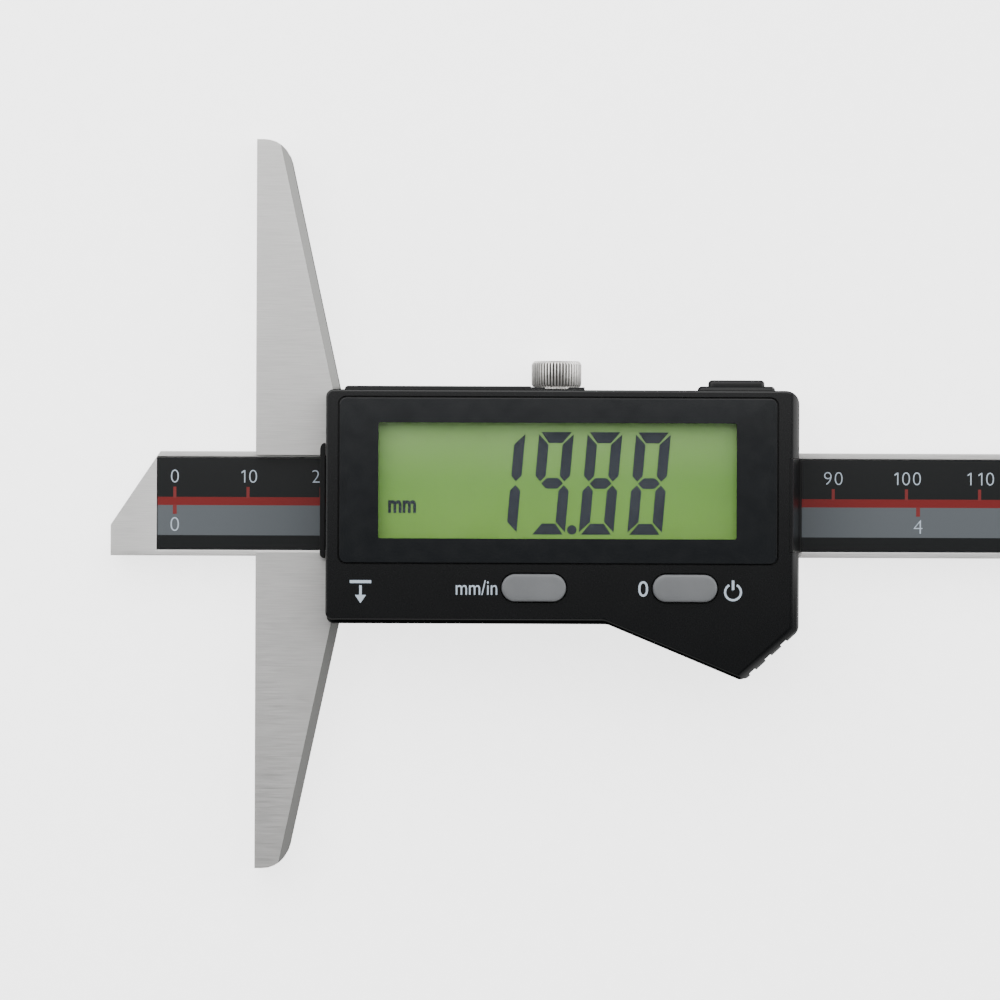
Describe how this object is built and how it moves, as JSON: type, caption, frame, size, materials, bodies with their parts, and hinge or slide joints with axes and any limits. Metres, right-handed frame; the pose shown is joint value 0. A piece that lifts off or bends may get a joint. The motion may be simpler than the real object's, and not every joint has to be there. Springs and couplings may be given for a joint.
{
  "type": "digital depth gauge",
  "caption": "Electronic depth gauge: a flat steel base with a display housing, and a graduated beam that slides through it to measure depth.",
  "frame": {"origin": "under the middle of the whole gauge as drawn out in the picture, on the plane of the slider body's flat back", "axes": "+X along the beam from its measuring tip to its far end, +Y towards the lock screw, +Z out of the display"},
  "size_m": [0.232, 0.0996, 0.0163],
  "materials": {
    "ground_steel": "finely ground",
    "bright_steel": "bright plated",
    "board_green": "solder mask",
    "label_print": "satin printed film",
    "gib_bronze": "satin",
    "brass": "turned",
    "black_plastic": "satin moulded",
    "black_rubber": "matte",
    "window_pane": "clear, printed black behind",
    "lcd_green": "satin polariser",
    "backlight_white": "gloss",
    "grey_rubber": "matte",
    "chip_black": "matte moulded",
    "contact_nickel": "nickel plated",
    "wiper_gloss": "gloss"
  },
  "bodies": {
    "slider": {"slider_body": "ground_steel", "gib_strip": "gib_bronze", "gib_screw_left": "bright_steel", "gib_screw_right": "bright_steel", "back_shell": "black_plastic", "front_cover": "black_plastic", "housing_seal": "black_rubber", "window_pane": "window_pane", "left_wiper": "black_rubber", "right_wiper": "wiper_gloss", "housing_screw_1": "bright_steel", "housing_screw_2": "bright_steel", "housing_screw_3": "bright_steel", "housing_screw_4": "bright_steel", "sensor_board": "board_green", "main_board": "board_green", "board_connector": "chip_black", "controller_chip": "chip_black", "radio_chip": "chip_black", "lcd_glass": "lcd_green", "lcd_backlight": "backlight_white", "elastomer_upper": "grey_rubber", "elastomer_lower": "grey_rubber", "keypad_mat": "grey_rubber", "battery": "contact_nickel", "positive_contact": "contact_nickel", "negative_contact": "contact_nickel", "data_socket": "chip_black"},
    "beam": {"beam": "ground_steel", "scale_strip": "board_green", "scale_label": "label_print", "end_stop": "ground_steel", "end_stop_screw_1": "bright_steel", "end_stop_screw_2": "bright_steel"},
    "lock_pad": {"lock_pad": "brass"},
    "lock_screw": {"lock_screw": "bright_steel"},
    "mode_button": {"mode_button": "grey_rubber"},
    "zero_button": {"zero_button": "grey_rubber"},
    "port_plug": {"port_plug": "black_rubber"},
    "cap_o_ring": {"cap_o_ring": "black_rubber"},
    "battery_cap": {"battery_cap": "black_plastic"}
  },
  "joints": [
    {"name": "beam_slide", "type": "slide", "parent": "slider", "child": "beam", "axis": [-1, 0, 0], "range_m": [-0.01988, 0.1318]},
    {"name": "lock_advance", "type": "slide", "parent": "slider", "child": "lock_pad", "axis": [0, 1, 0], "range_m": [-0.00005, 0.0005]},
    {"name": "lock_turn", "type": "hinge", "parent": "lock_pad", "child": "lock_screw", "pos_m": [-0.05512, 0, 0.00355], "axis": [0, 1, 0], "range_deg": [-36.5, 360.5]},
    {"name": "mode_button_press", "type": "slide", "parent": "slider", "child": "mode_button", "axis": [0, 0, -1], "range_m": [0, 0.0005], "stiffness_N_per_m": 1500},
    {"name": "zero_button_press", "type": "slide", "parent": "slider", "child": "zero_button", "axis": [0, 0, -1], "range_m": [0, 0.0005], "stiffness_N_per_m": 1500},
    {"name": "port_plug_pull", "type": "slide", "parent": "slider", "child": "port_plug", "axis": [0, 1, 0], "range_m": [0, 0.006]},
    {"name": "cap_advance", "type": "slide", "parent": "slider", "child": "cap_o_ring", "axis": [0, 0, -1], "range_m": [0, 0.0015]},
    {"name": "cap_turn", "type": "hinge", "parent": "cap_o_ring", "child": "battery_cap", "pos_m": [-0.03132, -0.0153, 0.0015], "axis": [0, 0, -1], "range_deg": [0, 540.5]}
  ],
  "couplings": [
    {"joint": "lock_turn", "follows": "lock_advance", "rad_per_m": 12566},
    {"joint": "cap_turn", "follows": "cap_advance", "rad_per_m": 6283.2}
  ]
}
